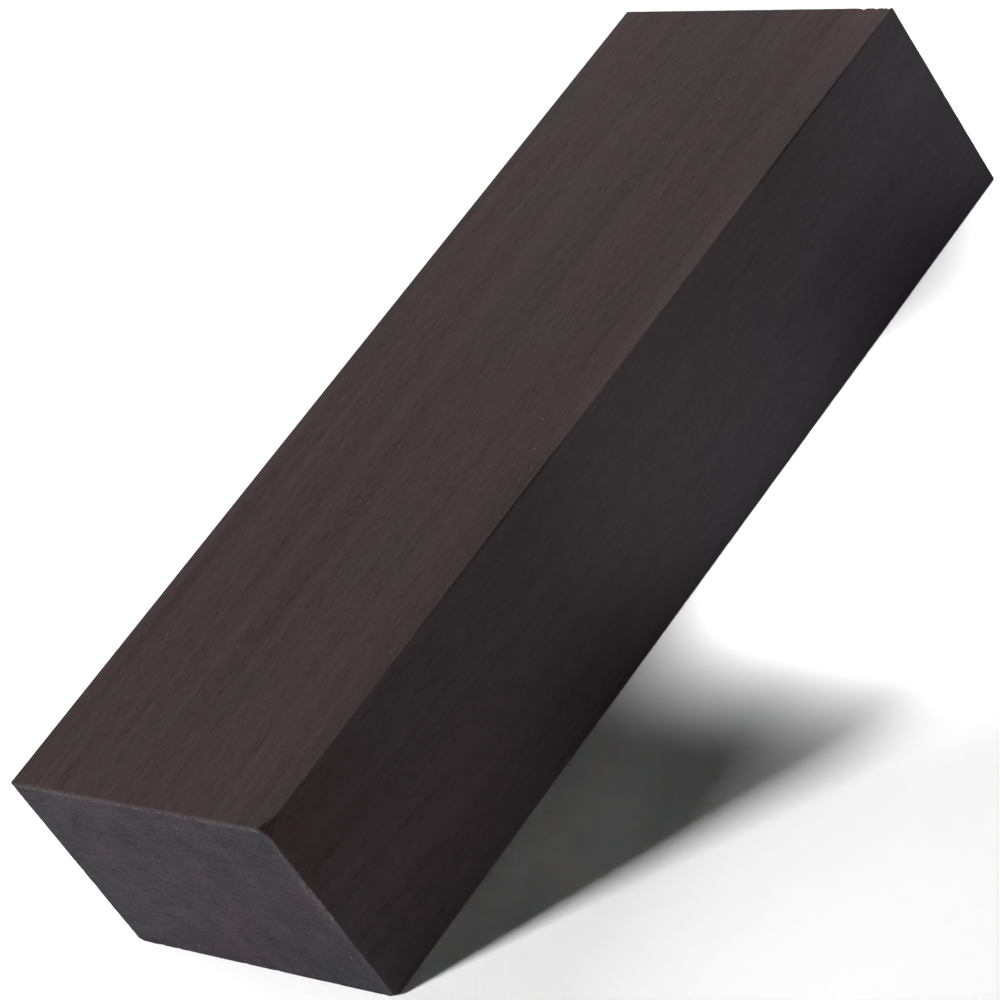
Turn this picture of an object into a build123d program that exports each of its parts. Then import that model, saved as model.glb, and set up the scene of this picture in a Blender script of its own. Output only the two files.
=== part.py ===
from build123d import *
import os

# A sawn blank of dark, fine-grained hardwood, cut square from one piece of timber and left unfinished.
# Millimetres. It lies on a broad face: X runs along the grain, Y across the broad face and Z up through
# the thickness. The origin is the middle of the underside.

LENGTH = 120.0
WIDTH = 41.4
THICKNESS = 25.4

# Sawing and handling leave every edge with a narrow flat instead of a true knife edge.
EDGE_BREAK = 0.12

# Corners that have been knocked off. Each is named by the ends of X, Y and Z that meet there, and by how
# far the break reaches back along the length, the width and the thickness.
KNOCKED_CORNERS = {
    "end_top_right": ((-1, -1, 1), (2.0, 1.4, 1.1)),
    "end_bottom_right": ((-1, -1, -1), (0.6, 1.1, 0.5)),
    "end_bottom_left": ((-1, 1, -1), (0.6, 1.0, 0.6)),
}


def sawn_blank():
    """The square blank with all twelve edges broken, standing on the XY plane."""
    blank = Box(LENGTH, WIDTH, THICKNESS, align=(Align.CENTER, Align.CENTER, Align.MIN))
    return chamfer(blank.edges(), length=EDGE_BREAK)


def corner_break(ends, reach):
    """The flat that a knocked corner leaves, as a plane whose normal points away from the wood."""
    along, across, up = ends
    corner = Vector(along * LENGTH / 2, across * WIDTH / 2, (up + 1) * THICKNESS / 2)
    on_long_edge = corner - Vector(along * reach[0], 0, 0)
    outward = Vector(along / reach[0], across / reach[1], up / reach[2])
    return Plane(origin=on_long_edge, z_dir=outward)


def hardwood_block():
    """The whole object: one piece of wood with its worn edges and knocked corners."""
    block = sawn_blank()
    for ends, reach in KNOCKED_CORNERS.values():
        block = split(block, bisect_by=corner_break(ends, reach), keep=Keep.BOTTOM)
    block.label = "block"
    return block


os.makedirs("parts", exist_ok=True)
export_step(hardwood_block(), "parts/block.step")
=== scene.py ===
import math
from types import SimpleNamespace

import bpy
import numpy as np
from mathutils import Matrix, Vector, noise


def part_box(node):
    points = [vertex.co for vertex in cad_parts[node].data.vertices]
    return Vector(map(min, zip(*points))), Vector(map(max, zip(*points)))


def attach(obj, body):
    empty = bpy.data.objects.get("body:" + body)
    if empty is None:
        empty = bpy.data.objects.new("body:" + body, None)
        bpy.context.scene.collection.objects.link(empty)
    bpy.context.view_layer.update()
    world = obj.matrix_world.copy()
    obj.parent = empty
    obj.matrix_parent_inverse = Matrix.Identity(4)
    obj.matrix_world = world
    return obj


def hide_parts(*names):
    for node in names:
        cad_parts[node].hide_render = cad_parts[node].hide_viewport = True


# A sawn block of dark, fine-grained hardwood. X runs along the grain, Y across the broad face and Z up.
# Names that end in _MM are millimetres. Everything else that is a length is in metres.

MM = 0.001
SEED = 11

# --- the camera, set out from the block's middle -------------------------------------------------------
CAMERA_AZIMUTH = -30.93         # degrees; 0 looks along +Y, 90 along -X
CAMERA_ELEVATION = 31.42        # degrees above the floor
CAMERA_ROLL = 35.26             # degrees that the camera is tipped about its own axis
CAMERA_DISTANCE = 4.087         # in lengths of the block
CAMERA_LENS = 164.07            # mm, on a sensor 36 mm wide
CAMERA_CLIP = (0.01, 50)
AIM_RIGHT, AIM_UP = -0.0182, -0.0272   # where it aims beside the block's middle, in lengths of the block

# --- the block's mesh ----------------------------------------------------------------------------------
CORE_STEP_MM = (0.9, 0.3, 0.3)  # spacing of the mesh away from the arrises, along X, Y and Z
ARRIS_STEP_MM = 0.05            # spacing right beside an arris
ARRIS_GROWTH = 1.35             # each step away from it is this much longer
ARRIS_ZONE_MM = 3.0             # how far in from an arris its wear can reach
ROUNDNESS = 1.5                 # 1 leaves a straight flat on an arris, 2 a round

# How ragged each arris is, from 0, crisp, to 1, splintered. An arris is named by the two sides that meet in
# it, such as the low end of X and the high side of Z. The cross-cut ends tear. The long arrises stay crisp.
LONG_ARRIS_RAGGEDNESS = 0.12
RAGGEDNESS = {
    ("-x", "+z"): 0.45, ("-x", "-y"): 1.00, ("-x", "-z"): 0.50, ("-x", "+y"): 0.50,
    ("+x", "+z"): 0.20, ("+x", "-y"): 0.25, ("+x", "-z"): 0.40, ("+x", "+y"): 0.45,
}

# Notches torn out of single arrises: where along it, how long and how deep, in mm from the arris's low end.
NOTCHES = {
    ("+x", "+z"): [(0.6, 0.5, 0.30), (1.4, 0.4, 0.22), (2.4, 0.5, 0.32), (4.3, 0.9, 0.26)],
}

# How far an arris's wear reaches in from it, in mm: evenly, and what fine waves, broad waves and bites add.
# On a cross-cut arris the last three are for full raggedness, and it wears further along the grain.
LONG_WEAR_MM = (0.10, 0.02, 0.03)
WEAR_ALONG_GRAIN_MM = (0.13, 0.07, 0.05, 0.60)
WEAR_ACROSS_GRAIN_MM = (0.09, 0.05, 0.05, 0.26)
LEAST_WEAR_MM = 0.06
FINE_WAVE_MM = 0.45
BROAD_WAVE_MM = 3.5

BITE_SPACING_MM = 1.5
BITE_HALF_WIDTH_MM = 0.8
BITE_WIDTHS = (0.4, 1.3)        # the least and most of a bite's width, as shares of the usual one
BITE_DEPTHS = (0.2, 1.0)        # the same for its depth, before it is squared so that most are shallow
BITE_LEAN = 0.6                 # how lopsided a bite can be

WEAR_SEARCH_STEPS = 20          # halvings in the search for a worn arris's surface
UNWORN = 0.9999                 # a point that keeps more than this hasn't moved
END_DIRECTION = 0.7             # a point further along X than this share of its way out is on an end

# The raw surface, in mm: spans over which it changes, and half of how deep it goes.
SAW_MARK_SPAN_MM, SAW_MARK_DEPTH_MM = 0.45, 0.014
GRIT_SPAN_MM, GRIT_DEPTH_MM = 0.5, 0.008
RAISED_FIBRE_SPANS_MM, RAISED_FIBRE_DEPTH_MM = (14, 0.6, 0.6), 0.008
HOLLOW_SPANS_MM, HOLLOW_DEPTH_MM = (28, 9, 9), 0.012
SAW_MARK_LINE = 3.7             # the line through the noise that the saw marks follow

# Splintered wood in a knocked corner, which begins where this much wood is gone.
SPLINTER_SPANS_MM, SPLINTER_DEPTH_MM = (0.9, 0.25, 0.25), 0.02
SPLINTERS_START_MM, SPLINTERS_FULL_MM = 0.35, 0.65


def grid_line(low, high, core_step):
    """Positions from low to high in mm, close together beside both ends and core_step apart between."""
    steps = []
    step = ARRIS_STEP_MM
    while step < core_step:
        steps.append(step)
        step *= ARRIS_GROWTH
    margin = np.concatenate([[0.0], np.cumsum(steps)])
    span = high - low - 2 * margin[-1]
    core = np.linspace(low + margin[-1], high - margin[-1], int(round(span / core_step)) + 1)
    return np.concatenate([low + margin[:-1], core, high - margin[:-1][::-1]])


def box_surface(lines):
    """Vertices and outward quads of a box whose faces carry the grid of three sets of positions."""
    counts = [len(line) for line in lines]
    index = np.arange(np.prod(counts)).reshape(counts)
    quads = []
    for axis in range(3):
        for side in (0, -1):
            sheet = np.take(index, side, axis=axis)
            corners = [sheet[:-1, :-1], sheet[1:, :-1], sheet[1:, 1:], sheet[:-1, 1:]]
            if (side == 0) != (axis == 1):
                corners.reverse()
            quads.append(np.stack([c.ravel() for c in corners], axis=1))
    quads = np.concatenate(quads)
    used, compact = np.unique(quads, return_inverse=True)
    at = np.unravel_index(used, counts)
    points = np.stack([lines[a][at[a]] for a in range(3)], axis=1)
    return points, compact.reshape(quads.shape)


def wander(along, step, rng):
    """Smooth random values from -1 to 1 along a line, changing over about step mm."""
    knots = np.arange(along.min() - 2 * step, along.max() + 3 * step, step)
    values = rng.uniform(-1, 1, len(knots))
    where = (along - knots[0]) / step
    left = np.clip(where.astype(int), 0, len(knots) - 2)
    part = where - left
    part = part * part * (3 - 2 * part)
    return values[left] * (1 - part) + values[left + 1] * part


def bites(along, rng):
    """Random bites along a line, from 0 to 1, and how deep each place is bitten."""
    total = np.zeros_like(along)
    for _ in range(int((along.max() - along.min()) / BITE_SPACING_MM)):
        centre = rng.uniform(along.min(), along.max())
        half = BITE_HALF_WIDTH_MM * rng.uniform(*BITE_WIDTHS)
        depth = rng.uniform(*BITE_DEPTHS) ** 2
        lean = rng.uniform(-BITE_LEAN, BITE_LEAN)
        away = (along - centre) / half
        away = away / (1 + lean * np.sign(away))
        total = np.maximum(total, depth * np.clip(1 - away * away, 0, None))
    return total


def arris_reach(axes, along, raggedness, notches, rng):
    """How far the wear of one arris reaches along each of its two axes, in mm, at each place along it."""
    fine, broad = wander(along, FINE_WAVE_MM, rng), wander(along, BROAD_WAVE_MM, rng)
    torn = bites(along, rng) * raggedness
    cut = np.zeros_like(along)
    for place, span, depth in notches:
        away = (along - along.min() - place) / (span / 2)
        cut = np.maximum(cut, depth * np.clip(1 - away * away, 0, None))
    reach = []
    for axis in axes:
        if 0 not in axes:
            even, fine_share, broad_share = LONG_WEAR_MM
            reach.append(even + fine_share * fine + broad_share * broad)
        else:
            wear = WEAR_ALONG_GRAIN_MM if axis == 0 else WEAR_ACROSS_GRAIN_MM
            even, fine_share, broad_share, torn_share = wear
            waves = raggedness * (fine_share * fine + broad_share * broad)
            reach.append(even + waves + torn_share * torn + cut)
    return [np.clip(r, LEAST_WEAR_MM, None) for r in reach]


def wear_arris(points, core, depth, near, axes, raggedness, notches, rng):
    """How much of the way out from the core each point near one arris keeps, from 0 to 1."""
    a, b = axes
    along = points[near, 3 - a - b]
    reach_a, reach_b = arris_reach(axes, along, raggedness, notches, rng)
    depth_a, depth_b = depth[near, a], depth[near, b]
    inside, outside = np.zeros(len(along)), np.ones(len(along))
    for _ in range(WEAR_SEARCH_STEPS):
        middle = (inside + outside) / 2
        below_a = depth_a + (1 - middle) * (ARRIS_ZONE_MM - depth_a)
        below_b = depth_b + (1 - middle) * (ARRIS_ZONE_MM - depth_b)
        gone = np.clip(1 - below_a / reach_a, 0, None) ** ROUNDNESS
        gone += np.clip(1 - below_b / reach_b, 0, None) ** ROUNDNESS
        wood = gone <= 1
        inside = np.where(wood, middle, inside)
        outside = np.where(wood, outside, middle)
    return np.where(outside > UNWORN, 1.0, inside)


def cad_planes(node):
    """The flats that bound the convex CAD solid, as unit normals and distances in mm."""
    faces = {}
    for polygon in node.data.polygons:
        normal = np.array(polygon.normal, float)
        distance = float(normal @ np.array(polygon.center, float)) / MM
        faces[tuple(np.round(normal, 3)) + (round(distance, 2),)] = (normal, distance)
    return list(faces.values())


def carve(points, low, high, planes):
    """Moves points of the box's surface in to the worn shape. Also gives the wood each one lost, in mm."""
    rng = np.random.default_rng(SEED)
    core = np.clip(points, low + ARRIS_ZONE_MM, high - ARRIS_ZONE_MM)
    outward = points - core
    depth = np.minimum(points - low, high - points)
    high_side = points - low > high - points
    keep = np.ones(len(points))
    for a, b in ((0, 1), (0, 2), (1, 2)):
        for side_a in (False, True):
            for side_b in (False, True):
                near = (depth[:, a] < ARRIS_ZONE_MM) & (depth[:, b] < ARRIS_ZONE_MM)
                near &= (high_side[:, a] == side_a) & (high_side[:, b] == side_b)
                name = ("-+"[side_a] + "xyz"[a], "-+"[side_b] + "xyz"[b])
                raggedness = RAGGEDNESS.get(name, LONG_ARRIS_RAGGEDNESS)
                notches = NOTCHES.get(name, [])
                kept = wear_arris(points, core, depth, near, (a, b), raggedness, notches, rng)
                keep[near] = np.minimum(keep[near], kept)
    for normal, distance in planes:
        rise = outward @ normal
        room = distance - core @ normal
        cut = rise * keep > room
        keep[cut] = room[cut] / rise[cut]
    lost = (1 - keep) * np.linalg.norm(outward, axis=1)
    return core + outward * keep[:, None], lost, outward


def relief(point, on_end):
    """How far the raw surface lies below its flat, in mm: fibres on a long face, saw marks on an end."""
    x, y, z = point
    if on_end:
        arc = math.hypot(y - SAW_CENTRE_MM[0], z - SAW_CENTRE_MM[1])
        marks = noise.noise(Vector((arc / SAW_MARK_SPAN_MM, SAW_MARK_LINE, x)))
        grit = noise.noise(Vector((x, y / GRIT_SPAN_MM, z / GRIT_SPAN_MM)))
        return SAW_MARK_DEPTH_MM * (1 + marks) + GRIT_DEPTH_MM * (1 + grit)
    across = y + (x - BOW_CREST_MM) ** 2 / (2 * BOW_RADIUS_MM)
    grain = np.array((x, across, z))
    fibres = noise.noise(Vector(grain / RAISED_FIBRE_SPANS_MM))
    hollows = noise.noise(Vector(grain / HOLLOW_SPANS_MM))
    return RAISED_FIBRE_DEPTH_MM * (1 + fibres) + HOLLOW_DEPTH_MM * (1 + hollows)


def roughen(shaped, lost, on_end):
    """How far each point sinks below the smooth shape, in mm, with splinters in a knocked corner."""
    sunk = np.array([relief(point, end) for point, end in zip(shaped, on_end)])
    corner = np.clip((lost - SPLINTERS_START_MM) / (SPLINTERS_FULL_MM - SPLINTERS_START_MM), 0, 1)
    splinters = np.array([noise.noise(Vector(point / SPLINTER_SPANS_MM)) for point in shaped])
    return sunk + corner * SPLINTER_DEPTH_MM * (1 + splinters)


def build_block(low, high, planes):
    """The block's mesh object: the CAD box with worn arrises, knocked corners and a raw sawn surface."""
    lines = [grid_line(low[a], high[a], CORE_STEP_MM[a]) for a in range(3)]
    points, quads = box_surface(lines)
    shaped, lost, outward = carve(points, low, high, planes)
    away = outward / np.linalg.norm(outward, axis=1)[:, None]
    on_end = np.abs(away[:, 0]) > END_DIRECTION
    shaped = shaped - away * roughen(shaped, lost, on_end)[:, None]
    mesh = bpy.data.meshes.new("hardwood_block")
    mesh.from_pydata((shaped * MM).tolist(), [], quads.tolist())
    mesh.update()
    mesh.polygons.foreach_set("use_smooth", [True] * len(mesh.polygons))
    block = bpy.data.objects.new("hardwood_block", mesh)
    bpy.context.scene.collection.objects.link(block)
    return block


# --- the wood ------------------------------------------------------------------------------------------
BOW_CREST_MM = -8.0             # the grain bows gently: where along X it runs straight
BOW_RADIUS_MM = 1280.0
SWAY_MM, SWAY_SPANS_MM = 1.6, (42, 11, 11)      # how far the grain wanders across, and over what length
HEAVE_MM, HEAVE_SPANS_MM = 1.2, (37, 12, 12)    # the same up and down
PITH_MM = (150.0, -70.0)        # where the middle of the tree was, in Y and Z
SAW_CENTRE_MM = (-24.0, -125.0) # the saw's centre as it crossed an end, in Y and Z

BROAD_BROWN = (0.0320, 0.0173, 0.0186)   # the broad faces, and the cooler patches in them
BROAD_GREY = (0.0273, 0.0179, 0.0191)
SIDE_BROWN = (0.0242, 0.0141, 0.0151)    # the narrow faces, from their warm near end to their cool far end
SIDE_GREY = (0.0197, 0.0147, 0.0162)
SIDE_BLUE = (0.0168, 0.0126, 0.0190)
END_MAUVE = (0.0140, 0.0096, 0.0143)     # end grain, and the greenish grey patches in it
END_GREEN = (0.0112, 0.0106, 0.0140)
FRAYED = (0.0470, 0.0370, 0.0350)        # torn and bruised fibres
DUST = (0.13, 0.12, 0.11)                # specks of dust and pale minerals in the pores
SHEEN = 0.072                            # the share of a polished surface's mirror light

# Which faces a material belongs to: how far their normal leans along an axis where it starts and is full.
END_FACING = (0.55, 0.80)
BROAD_FACING = (0.80, 0.95)
ARRIS_FACING = (0.16, 0.42)     # the product of how far it leans along Y and along Z
NO_END_FACING = (0.20, 0.05)

# Patterns of smooth noise: the spans over which they change, in mm, then their octaves and roughness.
# Streaks, lines and bands are laid out by ring, X and Z. Fibres and flecks follow the grain.
STREAKS = ((2.2, 85, 300), 3, 0.6)
LINES = ((0.8, 45, 120), 2, 0.6)
BANDS = ((6, 120, 300), 1)
FIBRES = ((1.9, 0.28, 0.28), 2, 0.65)
FLECKS = ((1.5, 0.60, 0.60), 3, 0.75)
CLOUDS = ((13, 10, 10), 3, 0.6)
SCRATCHES = ((0.30, 4.0, 5.0), 3, 0.7)
SPECKLE = ((0.55, 0.55, 5.0), 4, 0.8)
MOTTLE = ((3.0, 3.0, 9.0), 3, 0.6)
DAMP = ((11, 8, 9), 2, 0.5)
FRAY = ((0.6, 0.6, 0.6), 3, 0.7)

# Scattered cells: their spans in mm, and how near to a cell's middle its spot starts and is full.
LONG_PORES = ((8, 0.60, 0.60), (0.19, 0.07))
END_PORES = ((0.42, 0.42, 9.0), (0.36, 0.12))
DUST_SPECKS = ((3.5, 3.5, 3.5), (0.044, 0.024))
BROAD_DUST = 0.4                # how strongly dust shows on a broad face, where 1 is on an end

# How strongly each pattern changes the wood's tone, its roughness and its height.
LONG_TONE = {"bands": 0.35, "lines": 0.44, "fibres": 0.66, "flecks": 0.68, "pores": -0.16}
LONG_ROUGHNESS = {"streaks": 0.16, "fibres": 0.12, "pores": 0.04}
LONG_HEIGHT_MM = {"fibres": 0.016, "lines": 0.010, "pores": -0.009}
END_TONE = {"scratches": 0.50, "pores": -0.24, "speckle": 2.35, "mottle": 0.90}
END_ROUGHNESS = {"speckle": 0.15}
END_HEIGHT_MM = {"scratches": 0.020, "pores": -0.014, "speckle": 0.014}
LONG_ROUGHNESS_BASE, END_ROUGHNESS_BASE = 0.57, 0.60
FRAY_HEIGHT_MM = 0.10

# Streaks are stronger by the left edge. All the patterns are calmer on the narrow faces.
STREAK_TONE, STREAK_TONE_BY_EDGE = 0.62, 0.55
LEFT_EDGE_MM = (9.0, 3.0)
SIDE_CALM = 0.78

# Where colours change. A name that ends in _MM gives how far in from a face the change starts and is full,
# and one that ends in _PATCH gives the noise at which a patch starts and is full.
FAR_HALF_MM = (35, 80)
COOL_IN_FAR_HALF = 0.10         # how much readier the cool patches come there
COOL_PATCH = (0.07, 0.20)
# A strip by the right edge of a broad face that is greyer and darker.
RIGHT_STRIP_MM = (3.0, 0.2)
RIGHT_STRIP_GREYING = 0.7
BROAD_TONE, RIGHT_STRIP_DARKENING, RIGHT_EDGE_PAINTED_SHADE = 1.04, -0.10, -0.08  # its tone, the darkening in the strip by the right edge, and painted shade towards that edge
RIGHT_EDGE_PAINTED_SHADE_MM = (16, 1)
WARM_FROM_NEAR_MM = (17, 2)
WARM_FROM_TOP_MM = (14, 2)
BLUE_PER_MM = (0.01, 0.02)      # how fast the side turns blue, away from the near end and from the top
BLUE_PATCH = (0.80, 1.65)
SIDE_TONE, SIDE_FAR_PAINTED_SHADE = 1.02, -0.22  # the side's tone, and the painted shade that darkens its far half
SIDE_FAR_SHADE_MM = (20, 50)
FOOT_MM = (5, 22)               # the side's foot, in mm down from the top
NEAR_FOOT_PAINTED_LIGHT, FAR_FOOT_PAINTED_SHADE = 0.07, -0.12     # painted light that lifts the near half's foot, and painted shade that darkens the far half's foot
ARRIS_PAINTED_LIGHT = 1.2               # how much lighter the long arrises are painted: painted light on their bevels, which the lamps leave dark

GREEN_BY_RIGHT_MM, GREEN_BY_LEFT_MM = (17, 5), (9, 1)
GREEN_FROM_DAMP, GREEN_FROM_SIDES = 0.7, 0.20
GREEN_PATCH = (0.04, 0.28)

# Frayed wood on an end: a line just under the top arris, another by the right one, and a torn patch in that.
TOP_LINE_MM, TOP_LINE_WIDTH_MM = 0.38, (0.34, 0.05)
RIGHT_LINE_MM, RIGHT_LINE = (1.9, 0.2), 0.42
PATCH_TOP_MM, PATCH_FOOT_MM, PATCH_RIGHT_MM = (6.0, 7.5), (14.5, 12.5), (2.6, 0.6)
FRAY_BROKEN = (-0.12, 0.14)


class Recipe:
    """A material's node tree, with one short call for each kind of node."""

    def __init__(self, name):
        self.material = bpy.data.materials.new(name)
        self.material.use_nodes = True
        self.tree = self.material.node_tree
        self.shader = self.tree.nodes["Principled BSDF"]

    def put(self, socket, value):
        """Joins a socket to another node's output, or sets it to a plain value."""
        if isinstance(value, bpy.types.NodeSocket):
            self.tree.links.new(value, socket)
        elif isinstance(value, tuple) and socket.type == "RGBA":
            socket.default_value = (*value, 1)
        else:
            socket.default_value = value

    def node(self, kind, **settings):
        made = self.tree.nodes.new("ShaderNode" + kind)
        for name, value in settings.items():
            setattr(made, name, value)
        return made

    def math(self, operation, *values):
        made = self.node("Math", operation=operation)
        for socket, value in zip(made.inputs, values):
            self.put(socket, value)
        return made.outputs[0]

    def add(self, a, b):
        return self.math("ADD", a, b)

    def times(self, a, b):
        return self.math("MULTIPLY", a, b)

    def minus(self, a, b):
        return self.math("SUBTRACT", a, b)

    def total(self, *values):
        result = values[0]
        for value in values[1:]:
            result = self.add(result, value)
        return result

    def weighted(self, patterns, weights):
        """The sum of named patterns, each times its own weight."""
        return self.total(*[self.times(patterns[name], weight) for name, weight in weights.items()])

    def distance(self, a, b, centre):
        """How far the place (a, b) is from a centre."""
        squares = [self.math("POWER", self.add(part, -middle), 2.0) for part, middle in zip((a, b), centre)]
        return self.math("SQRT", self.add(*squares))

    def split(self, vector):
        made = self.node("SeparateXYZ")
        self.put(made.inputs[0], vector)
        return made.outputs

    def vector(self, *parts):
        made = self.node("CombineXYZ")
        for socket, value in zip(made.inputs, parts):
            self.put(socket, value)
        return made.outputs[0]

    def scaled(self, parts, spans):
        """A place to look a pattern up in, with each part counted in its own span."""
        return self.vector(*[self.times(part, 1 / span) for part, span in zip(parts, spans)])

    def noise(self, parts, spans, detail, roughness=0.5):
        """Smooth random values from -0.5 to 0.5 that change over the given spans of their parts."""
        made = self.node("TexNoise")
        self.put(made.inputs["Vector"], self.scaled(parts, spans))
        for name, value in (("Scale", 1.0), ("Detail", detail), ("Roughness", roughness)):
            self.put(made.inputs[name], value)
        return self.math("SUBTRACT", made.outputs["Fac"], 0.5)

    def spots(self, parts, spans, edge):
        """Scattered spots, from 0 between them to 1 in them."""
        made = self.node("TexVoronoi")
        self.put(made.inputs["Vector"], self.scaled(parts, spans))
        self.put(made.inputs["Scale"], 1.0)
        return self.fade(made.outputs["Distance"], *edge)

    def fade(self, value, start, end):
        """0 at start and 1 at end, smooth between."""
        made = self.node("MapRange", interpolation_type="SMOOTHSTEP")
        for name, given in (("Value", value), ("From Min", start), ("From Max", end)):
            self.put(made.inputs[name], given)
        return made.outputs["Result"]

    def mix(self, factor, a, b):
        made = self.node("Mix", data_type="RGBA")
        self.put(made.inputs["Factor"], factor)
        self.put(made.inputs[6], a)
        self.put(made.inputs[7], b)
        return made.outputs[2]

    def choose(self, factor, a, b):
        made = self.node("Mix", data_type="FLOAT")
        self.put(made.inputs["Factor"], factor)
        self.put(made.inputs["A"], a)
        self.put(made.inputs["B"], b)
        return made.outputs["Result"]

    def tint(self, colour, tone):
        """A colour made lighter or darker by a number about 1."""
        made = self.node("VectorMath", operation="SCALE")
        self.put(made.inputs[0], colour)
        self.put(made.inputs["Scale"], tone)
        return made.outputs[0]

    def bump(self, height_mm):
        made = self.node("Bump")
        self.put(made.inputs["Strength"], 1.0)
        self.put(made.inputs["Distance"], MM)
        self.put(made.inputs["Height"], height_mm)
        return made.outputs[0]


def find_place(r, low, high):
    """Where a point is and which way its face looks, as named sockets. Lengths are in mm."""
    coordinates = r.node("TexCoord")
    x, y, z = [r.times(part, 1 / MM) for part in r.split(coordinates.outputs["Object"])]
    along_x, along_y, along_z = [r.math("ABSOLUTE", part) for part in r.split(coordinates.outputs["Normal"])]
    on_arris = r.times(r.fade(r.times(along_y, along_z), *ARRIS_FACING), r.fade(along_x, *NO_END_FACING))

    # The grain follows the fibres' gentle bow across and up, and rings count out from the pith.
    off_crest = r.add(x, -BOW_CREST_MM)
    bow = r.times(r.times(off_crest, off_crest), 0.5 / BOW_RADIUS_MM)
    sway = r.times(r.noise((x, y, z), SWAY_SPANS_MM, 1), SWAY_MM)
    across = r.total(y, bow, sway)
    up = r.add(z, r.times(r.noise((x, z, y), HEAVE_SPANS_MM, 1), HEAVE_MM))
    return SimpleNamespace(
        x=x, y=y, z=z, across=across, up=up, ring=r.distance(across, up, PITH_MM),
        from_near=r.add(x, -low[0]), from_right=r.add(y, -low[1]),
        from_left=r.minus(high[1], y), from_top=r.minus(high[2], z),
        on_end=r.fade(along_x, *END_FACING), on_broad=r.fade(along_z, *BROAD_FACING), on_arris=on_arris,
    )


def long_grain(r, at):
    """The patterns of the long faces: growth streaks, finer lines in them, fibres, flecks and pores."""
    by_ring, by_grain = (at.ring, at.x, at.z), (at.x, at.across, at.up)
    return {
        "streaks": r.noise(by_ring, *STREAKS),
        "lines": r.noise(by_ring, *LINES),
        "bands": r.noise(by_ring, *BANDS),
        "fibres": r.noise(by_grain, *FIBRES),
        "flecks": r.noise(by_grain, *FLECKS),
        "pores": r.spots(by_grain, *LONG_PORES),
    }


def end_grain(r, at):
    """The patterns of the ends: the scratches of the cross-cut, open pores, and speckle and mottling."""
    by_grain = (at.across, at.up, at.x)
    from_saw = r.distance(at.y, at.z, SAW_CENTRE_MM)
    return {
        "scratches": r.noise((from_saw, at.y, at.x), *SCRATCHES),
        "pores": r.spots(by_grain, *END_PORES),
        "speckle": r.noise(by_grain, *SPECKLE),
        "mottle": r.noise(by_grain, *MOTTLE),
    }


def long_tone(r, at, patterns):
    """How light the long grain is, about 1."""
    by_left_edge = r.times(r.fade(at.from_left, *LEFT_EDGE_MM), STREAK_TONE_BY_EDGE)
    streaks = r.times(patterns["streaks"], r.add(STREAK_TONE, by_left_edge))
    change = r.add(streaks, r.weighted(patterns, LONG_TONE))
    return r.add(1.0, r.times(r.choose(at.on_broad, SIDE_CALM, 1.0), change))


def broad_colour_with_painted_shade(r, at, clouds):
    """Brown with cooler patches, greyer and darker in a strip by the right edge, and painted shade darkening
    it towards that edge.
    """
    far_half = r.times(r.fade(at.from_near, *FAR_HALF_MM), COOL_IN_FAR_HALF)
    cool = r.fade(r.add(clouds, far_half), *COOL_PATCH)
    # Greyer and darker in a strip by the right edge.
    right_strip = r.times(r.fade(at.from_right, *RIGHT_STRIP_MM), RIGHT_STRIP_GREYING)
    # Painted shade: the broad faces darken over the last 16 mm towards the right edge.
    by_right = r.times(r.fade(at.from_right, *RIGHT_EDGE_PAINTED_SHADE_MM), RIGHT_EDGE_PAINTED_SHADE)
    tone = r.total(BROAD_TONE, r.times(right_strip, RIGHT_STRIP_DARKENING), by_right)
    return r.tint(r.mix(right_strip, r.mix(cool, BROAD_BROWN, BROAD_GREY), BROAD_GREY), tone)


def side_colour_with_painted_shade(r, at, clouds):
    """Warm by the near top corner, blue-grey at the far end, with painted light on the near half's foot and
    painted shade darkening the far half, most at its foot.
    """
    warm = r.times(r.fade(at.from_near, *WARM_FROM_NEAR_MM), r.fade(at.from_top, *WARM_FROM_TOP_MM))
    away = r.add(r.times(at.from_near, BLUE_PER_MM[0]), r.times(at.from_top, BLUE_PER_MM[1]))
    colour = r.mix(r.fade(r.add(away, clouds), *BLUE_PATCH), r.mix(warm, SIDE_GREY, SIDE_BROWN), SIDE_BLUE)
    foot = r.fade(at.from_top, *FOOT_MM)
    # Painted light and shade: the near half's foot is lightened, and the far half is darkened, most at its
    # foot.
    near, far = r.times(foot, NEAR_FOOT_PAINTED_LIGHT), r.add(SIDE_FAR_PAINTED_SHADE, r.times(foot, FAR_FOOT_PAINTED_SHADE))
    return r.tint(colour, r.add(SIDE_TONE, r.choose(r.fade(at.from_near, *SIDE_FAR_SHADE_MM), near, far)))


def end_colour(r, at):
    """Mauve, with greenish grey patches that gather by the sides."""
    damp = r.times(r.noise((at.y, at.z, at.x), *DAMP), GREEN_FROM_DAMP)
    by_right, by_left = r.fade(at.from_right, *GREEN_BY_RIGHT_MM), r.fade(at.from_left, *GREEN_BY_LEFT_MM)
    by_sides = r.times(r.math("MAXIMUM", by_right, by_left), GREEN_FROM_SIDES)
    greenish = r.fade(r.add(damp, by_sides), *GREEN_PATCH)
    return r.mix(greenish, END_MAUVE, END_GREEN)


def frayed_wood(r, at, fray):
    """Where torn and bruised fibres scatter more light, in thin broken lines along the cross-cut arrises."""
    from_line = r.math("ABSOLUTE", r.add(at.from_top, -TOP_LINE_MM))
    top_line = r.fade(from_line, *TOP_LINE_WIDTH_MM)
    right_line = r.times(r.fade(at.from_right, *RIGHT_LINE_MM), RIGHT_LINE)
    patch_height = r.times(r.fade(at.from_top, *PATCH_TOP_MM), r.fade(at.from_top, *PATCH_FOOT_MM))
    patch = r.times(patch_height, r.fade(at.from_right, *PATCH_RIGHT_MM))
    torn = r.math("MAXIMUM", r.math("MAXIMUM", top_line, right_line), patch)
    return r.times(r.times(torn, at.on_end), r.fade(fray, *FRAY_BROKEN))


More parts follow.
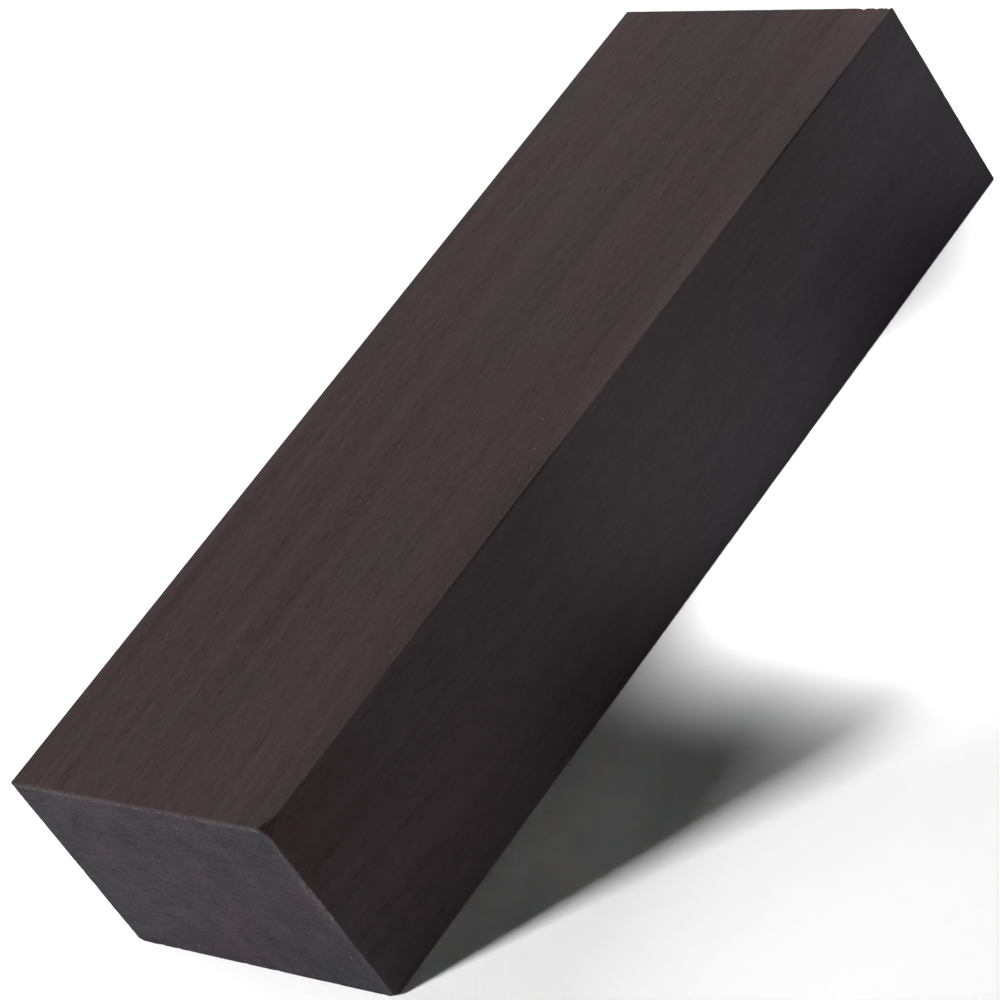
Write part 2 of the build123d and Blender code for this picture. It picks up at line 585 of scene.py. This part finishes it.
def wood_material(low, high):
    """Sawn dark hardwood. Low and high are the block's corners in mm."""
    r = Recipe("sawn_dark_hardwood")
    at = find_place(r, low, high)
    by_place = (at.x, at.y, at.z)
    long_patterns, end_patterns = long_grain(r, at), end_grain(r, at)
    clouds, fray = r.noise(by_place, *CLOUDS), r.noise(by_place, *FRAY)
    frayed = frayed_wood(r, at, fray)

    long_colour = r.mix(at.on_broad, side_colour_with_painted_shade(r, at, clouds), broad_colour_with_painted_shade(r, at, clouds))
    # Painted light: the long arrises' colour is lifted, standing in for light on their bevels.
    long_colour = r.tint(long_colour, r.add(1.0, r.times(at.on_arris, ARRIS_PAINTED_LIGHT)))
    end_tone = r.add(1.0, r.weighted(end_patterns, END_TONE))
    tone = r.choose(at.on_end, long_tone(r, at, long_patterns), end_tone)
    colour = r.tint(r.mix(at.on_end, long_colour, end_colour(r, at)), tone)
    dusty = r.choose(at.on_end, r.times(at.on_broad, BROAD_DUST), 1.0)
    dust = r.times(r.spots(by_place, *DUST_SPECKS), dusty)
    r.put(r.shader.inputs["Base Color"], r.mix(dust, r.mix(frayed, colour, FRAYED), DUST))
    r.put(r.shader.inputs["Specular IOR Level"], r.times(tone, SHEEN))

    long_roughness = r.add(LONG_ROUGHNESS_BASE, r.weighted(long_patterns, LONG_ROUGHNESS))
    end_roughness = r.add(END_ROUGHNESS_BASE, r.weighted(end_patterns, END_ROUGHNESS))
    r.put(r.shader.inputs["Roughness"], r.choose(at.on_end, long_roughness, end_roughness))

    long_height = r.weighted(long_patterns, LONG_HEIGHT_MM)
    end_height = r.weighted(end_patterns, END_HEIGHT_MM)
    fray_height = r.times(r.times(fray, frayed), FRAY_HEIGHT_MM)
    height = r.add(r.choose(at.on_end, long_height, end_height), fray_height)
    r.put(r.shader.inputs["Normal"], r.bump(height))
    return r.material


# --- the studio ----------------------------------------------------------------------------------------
FLOOR_GREY, FLOOR_ROUGHNESS = 0.95, 0.9
FLOOR_HALF = 8.0                # half of its side
FLOOR_LIT = (0.10, 0.50)        # how far out from the block the floor's own glow starts and is full
WASH_SIZE = 0.04                # the side of a small lamp over the floor
SURROUND = 0.02                 # how strongly the pale surround fills the shadows


def floor_material():
    """Plain, pale and matt. Further out it glows too, so that it stays pale past the lamps' reach."""
    r = Recipe("pale_floor")
    r.put(r.shader.inputs["Base Color"], (FLOOR_GREY, FLOOR_GREY, FLOOR_GREY))
    r.put(r.shader.inputs["Roughness"], FLOOR_ROUGHNESS)
    r.put(r.shader.inputs["Specular IOR Level"], 0.0)
    place = r.node("TexCoord").outputs["Object"]
    distance = r.node("VectorMath", operation="LENGTH")
    r.put(distance.inputs[0], place)
    r.put(r.shader.inputs["Emission Color"], (1.0, 1.0, 1.0))
    r.put(r.shader.inputs["Emission Strength"], r.fade(distance.outputs["Value"], *FLOOR_LIT))
    return r.material


def make_floor():
    half = FLOOR_HALF
    corners = [(-half, -half, 0), (half, -half, 0), (half, half, 0), (-half, half, 0)]
    mesh = bpy.data.meshes.new("floor")
    mesh.from_pydata(corners, [], [(0, 1, 2, 3)])
    mesh.materials.append(floor_material())
    floor = bpy.data.objects.new("floor", mesh)
    bpy.context.scene.collection.objects.link(floor)


def softbox(name, azimuth, elevation, distance, size, power, target, spread=180):
    """A square area light facing its target. Seen from above, azimuth 0 is out along +X and 90 along +Y."""
    a, e = math.radians(azimuth), math.radians(elevation)
    towards = Vector((math.cos(a) * math.cos(e), math.sin(a) * math.cos(e), math.sin(e)))
    light = bpy.data.lights.new(name, "AREA")
    light.size = size
    light.energy = power
    light.spread = math.radians(spread)
    lamp = bpy.data.objects.new(name, light)
    lamp.location = target + towards * distance
    lamp.rotation_euler = (-towards).to_track_quat("-Z", "Y").to_euler()
    lamp.visible_camera = False
    bpy.context.scene.collection.objects.link(lamp)


def floor_wash(name, x, y, height, spread, power):
    """A small lamp low over the floor at (x, y), facing straight down, that thins the shadow under it."""
    light = bpy.data.lights.new(name, "AREA")
    light.size = WASH_SIZE
    light.energy = power
    light.spread = math.radians(spread)
    lamp = bpy.data.objects.new(name, light)
    lamp.location = (x, y, height)
    lamp.visible_camera = False
    bpy.context.scene.collection.objects.link(lamp)


def make_world():
    """An even pale surround: it looks white, and fills the shadows a little."""
    world = bpy.data.worlds.new("studio")
    world.use_nodes = True
    tree = world.node_tree
    seen = tree.nodes.new("ShaderNodeLightPath")
    mix = tree.nodes.new("ShaderNodeMix")
    mix.inputs["A"].default_value = SURROUND
    mix.inputs["B"].default_value = 1.0
    tree.links.new(seen.outputs["Is Camera Ray"], mix.inputs["Factor"])
    tree.links.new(mix.outputs["Result"], tree.nodes["Background"].inputs["Strength"])
    tree.nodes["Background"].inputs["Color"].default_value = (1, 1, 1, 1)
    bpy.context.scene.world = world


def make_camera(middle, length):
    """The viewing angle, rolled so that the block's long edges climb to the right."""
    azimuth, elevation = math.radians(CAMERA_AZIMUTH), math.radians(CAMERA_ELEVATION)
    out = math.cos(elevation)
    back = Vector((math.sin(azimuth) * out, -math.cos(azimuth) * out, math.sin(elevation)))
    level = (-back).to_track_quat("-Z", "Y").to_matrix()
    turn = level @ Matrix.Rotation(-math.radians(CAMERA_ROLL), 3, "Z")
    aim = middle + (turn.col[0] * AIM_RIGHT + turn.col[1] * AIM_UP) * length
    camera = bpy.data.objects.new("camera", bpy.data.cameras.new("camera"))
    camera.data.lens = CAMERA_LENS
    camera.data.clip_start, camera.data.clip_end = CAMERA_CLIP
    camera.matrix_world = Matrix.Translation(aim + back * CAMERA_DISTANCE * length) @ turn.to_4x4()
    bpy.context.scene.collection.objects.link(camera)
    bpy.context.scene.camera = camera


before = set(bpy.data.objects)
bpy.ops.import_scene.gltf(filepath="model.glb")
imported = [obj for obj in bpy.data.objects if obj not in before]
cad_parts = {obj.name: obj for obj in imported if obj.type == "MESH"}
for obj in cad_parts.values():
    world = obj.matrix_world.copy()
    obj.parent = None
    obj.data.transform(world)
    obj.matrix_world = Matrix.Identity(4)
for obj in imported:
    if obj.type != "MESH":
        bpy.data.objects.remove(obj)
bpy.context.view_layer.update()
low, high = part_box("block")
low_mm, high_mm = np.array(low) / MM, np.array(high) / MM
middle, length = (low + high) / 2, high.x - low.x
foot = Vector((low.x + 0.022, low.y, low.z + 0.004))    # low on the right side, towards the near end

block = build_block(low_mm, high_mm, cad_planes(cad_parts["block"]))
block.data.materials.append(wood_material(low_mm, high_mm))
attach(block, "root")
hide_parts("block")

make_floor()
make_camera(middle, length)
make_world()
bpy.context.scene.view_settings.view_transform = "Standard"
softbox("key", azimuth=140.5, elevation=22.5, distance=1.0, size=0.15, power=19.2, target=middle)
softbox("back", azimuth=90, elevation=40, distance=0.6, size=0.3, power=1.7, target=middle)
softbox("far_sheen", azimuth=45, elevation=20, distance=0.6, size=0.3, power=0.85, target=middle)
softbox("right_fill", azimuth=250, elevation=3, distance=0.4, size=0.03, power=0.0066, spread=13, target=foot)
floor_wash("near_wash", x=0.013, y=-0.043, height=0.045, spread=48, power=0.018)
floor_wash("far_wash", x=0.064, y=-0.055, height=0.065, spread=72, power=0.0205)
floor_wash("end_wash", x=0.096, y=-0.033, height=0.065, spread=88, power=0.026)
